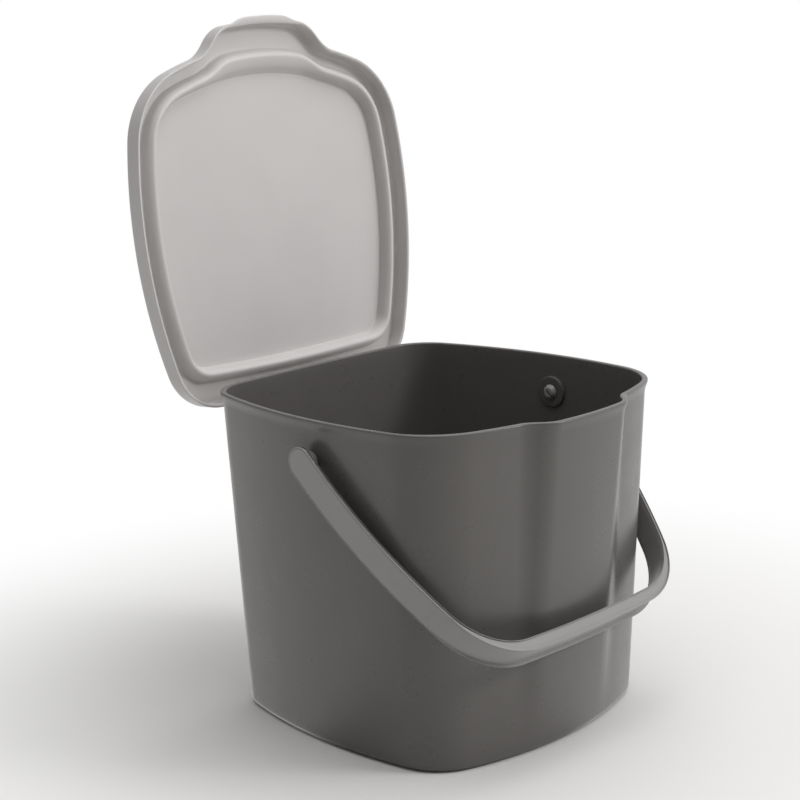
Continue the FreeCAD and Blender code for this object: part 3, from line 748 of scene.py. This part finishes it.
def bail_mesh(settings):
    """Bail: a strip with round ends, wrapped between an inner and an outer line, with a channel in the grip.

    The strip's edge runs round as one direction and the step in towards its middle line is the other. A point
    is inner line plus a times (outer minus inner), where a is 1 on the outer face, 0 on the inner one, and
    follows a quarter circle over the edges. The channel lowers a on the outer face.
    """
    body = settings.body
    handle = settings.handle
    half = handle.width / 2
    inside = wall_outer_x(body, body.height - PIVOT_DROP) + STANDOFF
    outer = bail_line(inside + handle.strap, REACH, OUTER_CORNER)
    inner_low = bail_line(inside, REACH - handle.grip + GRIP_LEAN, INNER_CORNER + GRIP_LEAN)
    inner_high = bail_line(inside, REACH - handle.grip, INNER_CORNER)
    straight = 0.085
    half_length = 0.248
    run = np.concatenate([
        np.linspace(0, 0.100, 70, endpoint=False),
        np.linspace(0.100, 0.205, 130, endpoint=False),
        np.linspace(0.205, half_length, 30, endpoint=False),
    ])
    run = np.concatenate([run, 2 * half_length - run[::-1]])
    turn = np.linspace(0, math.pi, 36, endpoint=False)[1:]
    edge_s = np.concatenate([run, 2 * half_length + half * np.sin(turn), run[::-1], -half * np.sin(turn)])
    edge_m = np.concatenate([0 * run + half, half * np.cos(turn), 0 * run - half, -half * np.cos(turn)])
    in_s = np.concatenate([0 * run, -np.sin(turn), 0 * run, np.sin(turn)])
    in_m = np.concatenate([0 * run - 1, -np.cos(turn), 0 * run + 1, np.cos(turn)])
    r = STRAP_EDGE_ROUND
    a = np.linspace(0, math.pi / 2, 8)
    flange = GRIP_FLANGE
    wall = np.array([-0.35, -0.25, -0.15, -0.08, 0.0, 0.08, 0.16, 0.25, 0.35, 0.5]) * MM + flange
    floor = flange + np.array([0.0007, 0.0011, 0.0016, 0.0023, 0.0031, 0.0040, 0.0049, 0.0058, 0.0067])
    face = np.concatenate([wall, floor, [half]])
    depth_in = np.concatenate([face[::-1], r * (1 - np.sin(a[::-1])), r * (1 - np.sin(a)), [0.0017, 0.0040, 0.0070, half]])
    side = np.concatenate([np.ones(len(face)), np.ones(len(a)), np.zeros(len(a)), np.zeros(4)])
    sink = np.concatenate([np.zeros(len(face)), r * (1 - np.cos(a[::-1])), r * (1 - np.cos(a)), np.zeros(4)])
    s = edge_s[None] + in_s[None] * depth_in[:, None]
    m = edge_m[None] + in_m[None] * depth_in[:, None]
    o = on_line(outer, s, straight, half_length)
    low = on_line(inner_low, s, straight, half_length)
    high = on_line(inner_high, s, straight, half_length)
    share = ((m + half) / (2 * half))[..., None]
    i = low + (high - low) * share
    thick = np.linalg.norm(o - i, axis=-1)
    start = CHANNEL_START + half - flange
    v = -o[..., 1]
    from_end = np.where(v < start, np.hypot(v - start, m), np.abs(m))
    open_share = ease(((half - flange) - from_end) / 0.0004 + 0.5)
    web = GRIP_WEB + (handle.strap - CHANNEL_START_DEPTH - GRIP_WEB) * ease((0.118 - v) / 0.02)
    trough = np.maximum(thick - web, 0.0) * open_share * side[:, None]
    level = np.where(side[:, None] > 0.5, thick - sink[:, None] - trough, sink[:, None])
    spot = i + (o - i) * (level / thick)[..., None]
    points = np.concatenate([spot, m[..., None]], axis=-1)
    points = turned_x(points, 0, 0, handle.lowered)
    points[..., 2] += body.height - PIVOT_DROP
    return grid_mesh("handle_bail", points, math.radians(50))


def stud_mesh(settings, side):
    """Hub, bearing stud and split snap head at one arm, turned about the pivot."""
    body = settings.body
    z = body.height - PIVOT_DROP
    face = wall_outer_x(body, z)
    boss = face - body.wall - BOSS_HEIGHT
    hub_face = face + HUB_RADIUS * DRAFT + HUB_FACE_GAP
    head = boss - HEAD_GAP
    end = face + STANDOFF + settings.handle.strap / 2
    path = rounded_path([
        (head - HEAD_LENGTH, 0), (head - HEAD_LENGTH, STUD_RADIUS - HEAD_TAPER), (head, HEAD_RADIUS),
        (head, STUD_RADIUS), (hub_face, STUD_RADIUS), (hub_face, HUB_RADIUS), (end - 0.0014, HUB_RADIUS),
        (end, HUB_RADIUS + 0.0003), (end, 0),
    ], [0, 0.0004, 0.0003, 0.0002, 0.0002, 0.0005, 0.0008, 0, 0])
    mesh = lathe_x("stud", path, 0, z)
    outline = np.array([(-1, -1), (1, -1), (1, 1), (-1, 1)]) * np.array([HEAD_RADIUS + 0.001, HEAD_SLOT / 2])
    corners = np.array([(head - HEAD_LENGTH - 0.001, *p) for p in outline] + [(boss + BOSS_HEIGHT, *p) for p in outline])
    cutter = bpy.data.meshes.new("slot")
    cutter.from_pydata(corners.tolist(), [], [(0, 1, 2, 3), (7, 6, 5, 4), (0, 4, 5, 1), (1, 5, 6, 2), (2, 6, 7, 3), (3, 7, 4, 0)])
    cutter.transform(Matrix.Translation((0, 0, z)) @ Matrix.Rotation(settings.handle.lowered, 4, "X"))
    tidy_mesh(cutter, math.radians(38))
    mesh = cut_mesh(mesh, cutter)
    if side < 0:
        mesh.transform(Matrix.Scale(-1, 4, (1, 0, 0)))
        mesh.flip_normals()
    return mesh


def photo_axes():
    """Right, up and back axes of the camera from its heading, dip and roll."""
    heading, down, roll = CAMERA_HEADING, CAMERA_DOWN, CAMERA_ROLL
    look = Vector((math.sin(heading) * math.cos(down), math.cos(heading) * math.cos(down), -math.sin(down)))
    level = Vector((math.cos(heading), -math.sin(heading), 0))
    drop = look.cross(level)
    right = level * math.cos(roll) + drop * math.sin(roll)
    below = drop * math.cos(roll) - level * math.sin(roll)
    return right, -below, -look


# Operators

class CADDY_OT_bucket(bpy.types.Operator):
    """Bucket wall with its foot ring, pour lip, rolled rim and the bosses round the handle's bearings"""
    bl_idname = "caddy.bucket"
    bl_label = "Bucket"

    def execute(self, context):
        settings = context.scene.caddy
        body = settings.body
        z = body.height - PIVOT_DROP
        face = wall_outer_x(body, z)
        hole = STUD_RADIUS + STUD_GAP
        path = np.array([(-face - 0.01, 0), (-face - 0.01, hole), (face + 0.01, hole), (face + 0.01, 0)])
        shell = cut_mesh(shell_mesh(body), lathe_x("bores", path, 0, z))
        finish = bucket_finish(settings)
        add_piece("bucket_shell", shell, "bucket", finish, ("bucket",))
        bosses = joined("bearing_bosses", [boss_mesh(body, -1), boss_mesh(body, 1)])
        add_piece("bearing_bosses", bosses, "bucket", finish)
        return {"FINISHED"}


class CADDY_OT_hinge_pins(bpy.types.Operator):
    """Ears and moulded pins of the hinge behind the rear rim"""
    bl_idname = "caddy.hinge_pins"
    bl_label = "Hinge pins"

    def execute(self, context):
        settings = context.scene.caddy
        y, z = hinge_place(settings.body)
        outline = lug_outline(settings.body)
        half = HOOK_LENGTH / 2 + HOOK_SIDE_GAP
        parts = []
        for x in (-STATION_X, STATION_X):
            parts.append(rounded_prism("lug", outline, x - half - LUG_WIDTH, x - half, 0.0004))
            parts.append(rounded_prism("lug", outline, x + half, x + half + LUG_WIDTH, 0.0004))
            reach = half + LUG_WIDTH * 0.5
            path = np.array([(x - reach, 0), (x - reach, PIN_RADIUS), (x + reach, PIN_RADIUS), (x + reach, 0)])
            parts.append(lathe_x("pin", path, y, z, 48))
        add_piece("hinge_pins", joined("hinge_pins", parts), "bucket", bucket_finish(settings))
        return {"FINISHED"}


class CADDY_OT_lid(bpy.types.Operator):
    """Lid moulding with its groove, skirt, front tab, sealing bead and inner panel"""
    bl_idname = "caddy.lid"
    bl_label = "Lid"

    def execute(self, context):
        settings = context.scene.caddy
        add_piece("lid_moulding", lid_mesh(settings), "lid", lid_finish(settings), ("lid",))
        return {"FINISHED"}


class CADDY_OT_lid_hooks(bpy.types.Operator):
    """Snap hooks that hold the lid on the pins"""
    bl_idname = "caddy.lid_hooks"
    bl_label = "Lid hooks"

    def execute(self, context):
        settings = context.scene.caddy
        y, z = hinge_place(settings.body)
        outline = hook_outline(settings.body)
        half = HOOK_LENGTH / 2
        parts = [rounded_prism("hook", outline, x - half, x + half, 0.0003) for x in (-STATION_X, STATION_X)]
        hooks = turn_mesh(joined("lid_hooks", parts), y, z, -settings.lid.opened)
        add_piece("lid_hooks", hooks, "lid", lid_finish(settings))
        return {"FINISHED"}


class CADDY_OT_handle(bpy.types.Operator):
    """Bail handle with its channelled grip, hubs and snap studs"""
    bl_idname = "caddy.handle"
    bl_label = "Handle"

    def execute(self, context):
        settings = context.scene.caddy
        finish = handle_finish(settings)
        add_piece("handle_bail", bail_mesh(settings), "handle", finish, ("handle",))
        studs = joined("handle_studs", [stud_mesh(settings, -1), stud_mesh(settings, 1)])
        add_piece("handle_studs", studs, "handle", finish)
        return {"FINISHED"}


class CADDY_OT_stage(bpy.types.Operator):
    """Pale floor, soft lamps, white surroundings and the camera"""
    bl_idname = "caddy.stage"
    bl_label = "Stage"

    def execute(self, context):
        scene = context.scene
        scene.view_settings.view_transform = "Standard"
        self.floor(scene)
        self.surroundings(scene)
        for name, place, size, power in LAMPS:
            self.lamp(scene, name, place, size, power)
        camera = bpy.data.cameras.new("camera")
        camera.sensor_width = 36
        camera.lens = CAMERA_LENS
        camera.shift_x, camera.shift_y = CAMERA_SHIFT
        camera.clip_end = 50
        holder = bpy.data.objects.new("camera", camera)
        scene.collection.objects.link(holder)
        axes = photo_axes()
        holder.matrix_world = Matrix.Translation(CAMERA_PLACE) @ Matrix(axes).transposed().to_4x4()
        scene.camera = holder
        return {"FINISHED"}

    def lamp(self, scene, name, place, size, power):
        """Rectangular soft lamp that points at the middle of the caddy."""
        data = bpy.data.lights.new(name, "AREA")
        data.shape = "RECTANGLE"
        data.size, data.size_y = size
        data.energy = power
        holder = bpy.data.objects.new(name, data)
        holder.location = place
        holder.rotation_euler = (Vector((0, 0, 0.16)) - Vector(place)).to_track_quat("-Z", "Y").to_euler()
        scene.collection.objects.link(holder)

    def dim_share(self, nodes, links, direction):
        """How much a direction from the object lies in the unlit quarter of the studio, from 0 to 1."""
        along = nodes.new("ShaderNodeVectorMath")
        along.operation = "DOT_PRODUCT"
        along.inputs[1].default_value = DIM_QUARTER
        links.new(direction, along.inputs[0])
        edge = nodes.new("ShaderNodeMapRange")
        edge.interpolation_type = "SMOOTHSTEP"
        edge.inputs["From Min"].default_value = DIM_EDGE[0]
        edge.inputs["From Max"].default_value = DIM_EDGE[1]
        links.new(along.outputs["Value"], edge.inputs["Value"])
        return edge.outputs["Result"]

    def floor(self, scene):
        """Pale floor that keeps the shadow near the object and is white further off, except in the dim quarter."""
        mesh = bpy.data.meshes.new("floor")
        reach = 6.0
        mesh.from_pydata([(-reach, -reach, 0), (reach, -reach, 0), (reach, reach, 0), (-reach, reach, 0)], [], [(0, 1, 2, 3)])
        piece = bpy.data.objects.new("floor", mesh)
        scene.collection.objects.link(piece)
        material = bpy.data.materials.new("pale_floor")
        material.use_nodes = True
        nodes = material.node_tree.nodes
        links = material.node_tree.links
        shader = nodes["Principled BSDF"]
        shader.inputs["Base Color"].default_value = (0.80, 0.79, 0.775, 1)
        shader.inputs["Roughness"].default_value = 0.9
        shader.inputs["Specular IOR Level"].default_value = 0.1
        place = nodes.new("ShaderNodeTexCoord")
        distance = nodes.new("ShaderNodeVectorMath")
        distance.operation = "LENGTH"
        links.new(place.outputs["Object"], distance.inputs[0])
        ramp = nodes.new("ShaderNodeMapRange")
        ramp.interpolation_type = "SMOOTHSTEP"
        ramp.inputs["From Min"].default_value = WHITE_FLOOR[0]
        ramp.inputs["From Max"].default_value = WHITE_FLOOR[1]
        links.new(distance.outputs["Value"], ramp.inputs["Value"])
        ray = nodes.new("ShaderNodeLightPath")
        seen = self.maths(nodes, links, "MULTIPLY", ramp.outputs["Result"], ray.outputs["Is Camera Ray"])
        outward = nodes.new("ShaderNodeVectorMath")
        outward.operation = "NORMALIZE"
        links.new(place.outputs["Object"], outward.inputs[0])
        lit = self.maths(nodes, links, "SUBTRACT", 1.0, self.dim_share(nodes, links, outward.outputs["Vector"]))
        mirrored = self.maths(nodes, links, "MULTIPLY", lit, ray.outputs["Is Glossy Ray"])
        share = self.maths(nodes, links, "MAXIMUM", seen, mirrored)
        glow = nodes.new("ShaderNodeEmission")
        glow.inputs["Color"].default_value = (1, 1, 1, 1)
        blend = nodes.new("ShaderNodeMixShader")
        links.new(share, blend.inputs["Fac"])
        links.new(shader.outputs["BSDF"], blend.inputs[1])
        links.new(glow.outputs["Emission"], blend.inputs[2])
        links.new(blend.outputs["Shader"], nodes["Material Output"].inputs["Surface"])
        mesh.materials.append(material)

    def maths(self, nodes, links, operation, first, second):
        """Output of a Math node over two sockets or numbers."""
        node = nodes.new("ShaderNodeMath")
        node.operation = operation
        for socket, value in zip(node.inputs, (first, second)):
            if isinstance(value, float):
                socket.default_value = value
            else:
                links.new(value, socket)
        return node.outputs["Value"]

    def surroundings(self, scene):
        """White to the camera; as light, a soft grey that is brighter to one side and dim in one quarter."""
        world = bpy.data.worlds.new("studio")
        scene.world = world
        world.use_nodes = True
        nodes = world.node_tree.nodes
        links = world.node_tree.links
        nodes.clear()
        output = nodes.new("ShaderNodeOutputWorld")
        place = nodes.new("ShaderNodeTexCoord")
        toward = nodes.new("ShaderNodeVectorMath")
        toward.operation = "DOT_PRODUCT"
        toward.inputs[1].default_value = BRIGHT_SIDE
        links.new(place.outputs["Generated"], toward.inputs[0])
        slope = self.maths(nodes, links, "MULTIPLY", toward.outputs["Value"], SURROUND_SLOPE)
        level = self.maths(nodes, links, "ADD", slope, SURROUND_LEVEL)
        dim = self.dim_share(nodes, links, place.outputs["Generated"])
        loss = self.maths(nodes, links, "MULTIPLY", dim, DIM_DEPTH)
        kept = self.maths(nodes, links, "SUBTRACT", 1.0, loss)
        light = nodes.new("ShaderNodeBackground")
        light.inputs["Color"].default_value = (0.99, 0.995, 1.0, 1)
        links.new(self.maths(nodes, links, "MULTIPLY", level, kept), light.inputs["Strength"])
        white = nodes.new("ShaderNodeBackground")
        white.inputs["Color"].default_value = (1, 1, 1, 1)
        white.inputs["Strength"].default_value = 1
        ray = nodes.new("ShaderNodeLightPath")
        blend = nodes.new("ShaderNodeMixShader")
        links.new(ray.outputs["Is Camera Ray"], blend.inputs["Fac"])
        links.new(light.outputs["Background"], blend.inputs[1])
        links.new(white.outputs["Background"], blend.inputs[2])
        links.new(blend.outputs["Shader"], output.inputs["Surface"])


class CADDY_PT_pieces(bpy.types.Panel):
    """Pieces and sizes of the caddy"""
    bl_idname = "CADDY_PT_pieces"
    bl_label = "Food-waste caddy"
    bl_space_type = "VIEW_3D"
    bl_region_type = "UI"
    bl_category = "Caddy"

    def draw(self, context):
        for operator in OPERATORS:
            self.layout.operator(operator.bl_idname)
        settings = context.scene.caddy
        for group in (settings.body, settings.lid, settings.handle, settings.finish):
            box = self.layout.box()
            for name in type(group).__annotations__:
                box.prop(group, name)


OPERATORS = (CADDY_OT_bucket, CADDY_OT_hinge_pins, CADDY_OT_lid, CADDY_OT_lid_hooks, CADDY_OT_handle, CADDY_OT_stage)
CLASSES = (CaddyBody, CaddyLid, CaddyHandle, CaddyFinish, CaddySettings, *OPERATORS, CADDY_PT_pieces)


def register():
    for cls in CLASSES:
        bpy.utils.register_class(cls)
    bpy.types.Scene.caddy = PointerProperty(type=CaddySettings)


def unregister():
    del bpy.types.Scene.caddy
    for cls in reversed(CLASSES):
        bpy.utils.unregister_class(cls)


def main():
    register()
    bpy.ops.caddy.bucket()
    bpy.ops.caddy.hinge_pins()
    bpy.ops.caddy.lid()
    bpy.ops.caddy.lid_hooks()
    bpy.ops.caddy.handle()
    bpy.ops.caddy.stage()


if __name__ == "__main__":
    main()
